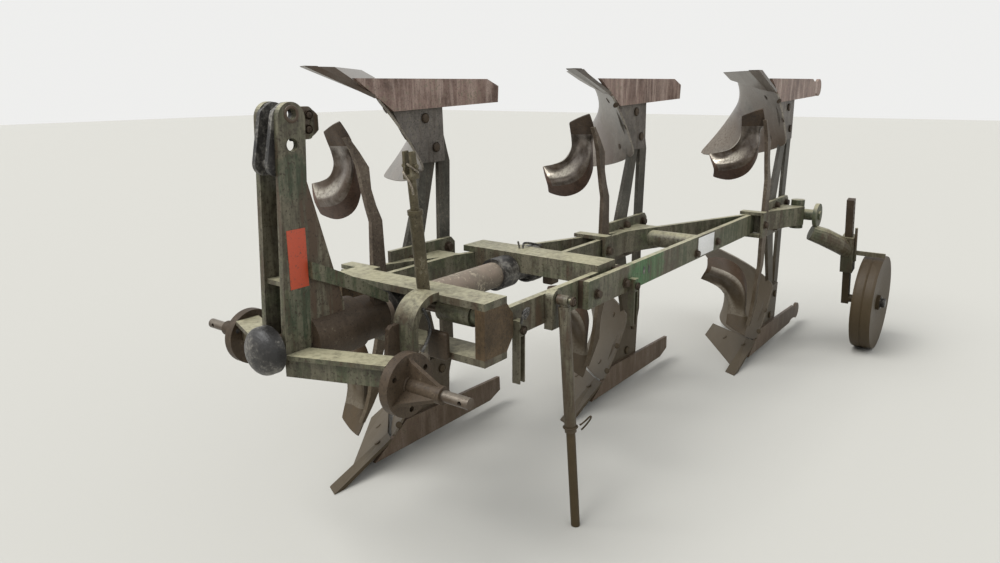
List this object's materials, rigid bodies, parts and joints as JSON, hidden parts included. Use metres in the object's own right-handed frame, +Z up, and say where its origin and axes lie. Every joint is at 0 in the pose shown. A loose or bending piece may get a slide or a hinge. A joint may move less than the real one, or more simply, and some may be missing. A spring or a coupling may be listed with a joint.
{
  "type": "moldboard plough",
  "caption": "Mounted turnover moldboard plough with mirrored bodies above and below a cranked frame, a tall headstock mast, parking stand and swinging gauge wheel.",
  "frame": {"origin": "middle of the bounding box in plan, on the floor the plough stands on", "axes": "+X is the direction of travel, towards the headstock; +Y is the plough's left; +Z is up"},
  "size_m": [3.301, 1.7466, 1.378],
  "materials": {
    "weathered_green": "matte weathered",
    "moss_green": "matte weathered",
    "brown_rust": "rusty",
    "red_rust": "rusty",
    "worn_steel": "scoured",
    "pink_primer": "matte",
    "old_grease": "dull"
  },
  "bodies": {
    "headstock": {"mast_plates": "weathered_green", "mast_ties": "weathered_green", "mast_gussets": "weathered_green", "mast_stay": "moss_green", "bearing_housing": "brown_rust", "nose_cap": "old_grease", "hitch_beam": "weathered_green", "hitch_discs": "brown_rust", "hitch_pins": "worn_steel", "top_shackle": "old_grease"},
    "frame": {"stop_hoop": "weathered_green", "stop_plate": "brown_rust", "adjusting_pole": "moss_green", "turnover_tube": "pink_primer", "tube_collars": "old_grease", "front_cross_member": "weathered_green", "end_blocks": "brown_rust", "rear_cross_member": "weathered_green", "left_rail_front": "moss_green", "left_rail_rear": "moss_green", "rail_packers": "brown_rust", "right_rail": "weathered_green", "main_beam": "weathered_green", "inner_bar": "weathered_green", "cross_tube": "weathered_green", "leg_brackets": "weathered_green", "legs": "red_rust", "frogs": "red_rust", "landsides": "red_rust", "shares": "worn_steel", "boards_upper": "worn_steel", "boards_lower": "worn_steel", "skimmer_boards": "worn_steel", "skimmer_stalks": "red_rust", "skimmer_clamps": "weathered_green", "turnover_cylinder": "moss_green", "hanging_bars": "moss_green", "stand_ear": "moss_green", "arm_mount": "moss_green"},
    "turnover_rod": {"cylinder_rod": "worn_steel"},
    "stand_sleeve": {"stand_pipe": "moss_green"},
    "stand_foot": {"stand_leg": "brown_rust"},
    "wheel_arm_body": {"wheel_arm": "moss_green", "wheel_stem": "brown_rust"},
    "wheel": {"gauge_wheel": "brown_rust"}
  },
  "joints": [
    {"name": "turnover", "type": "hinge", "parent": "headstock", "child": "frame", "pos_m": [1.2945, -0.0145, 0.689], "axis": [1, 0, 0], "range_deg": [0, 180]},
    {"name": "turnover_rod_slide", "type": "slide", "parent": "frame", "child": "turnover_rod", "axis": [0, 1, 0], "range_m": [0, 0.045]},
    {"name": "stand_swing", "type": "hinge", "parent": "frame", "child": "stand_sleeve", "pos_m": [0.8825, 0.3975, 0.717], "axis": [0, 1, 0], "range_deg": [0, 90]},
    {"name": "stand_slide", "type": "slide", "parent": "stand_sleeve", "child": "stand_foot", "axis": [0, -0.0785, 0.9969], "range_m": [0, 0.16]},
    {"name": "arm_swing", "type": "hinge", "parent": "frame", "child": "wheel_arm_body", "pos_m": [-1.2055, 0.5605, 0.689], "axis": [0, 1, 0], "range_deg": [-180, 0]},
    {"name": "wheel_turn", "type": "hinge", "parent": "wheel_arm_body", "child": "wheel", "pos_m": [-1.4105, 0.8225, 0.24], "axis": [0, 1, 0], "continuous": true}
  ]
}
